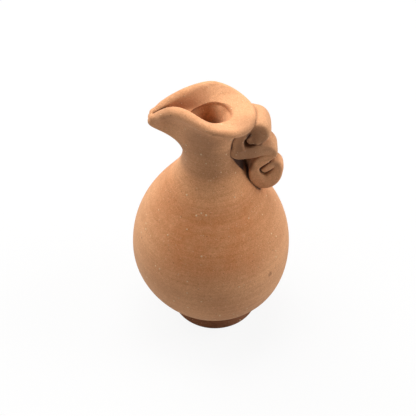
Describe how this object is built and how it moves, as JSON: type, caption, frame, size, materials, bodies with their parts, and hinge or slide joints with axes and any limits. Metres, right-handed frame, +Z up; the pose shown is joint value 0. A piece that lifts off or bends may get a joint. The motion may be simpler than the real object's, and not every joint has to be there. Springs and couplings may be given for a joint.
{
  "type": "miniature jug",
  "caption": "Small unglazed terracotta jug with an egg-shaped belly on a low foot, a pinched pouring mouth and a clay strap folded into a double scroll as its handle.",
  "frame": {"origin": "under the belly's axis, on the surface that the jug stands on", "axes": "+Z up, spout along -X, handle on the +X side"},
  "size_m": [0.06, 0.06, 0.1055],
  "materials": {
    "foot_clay": "unglazed terracotta, dark red-brown, matte",
    "body_clay": "unglazed terracotta with fine throwing lines, matte",
    "neck_clay": "unglazed terracotta, matte",
    "handle_clay": "unglazed terracotta, matte"
  },
  "bodies": {
    "root": {"foot_disc": "foot_clay", "belly": "body_clay", "neck_and_spout": "neck_clay", "scroll_handle": "handle_clay"}
  },
  "joints": []
}
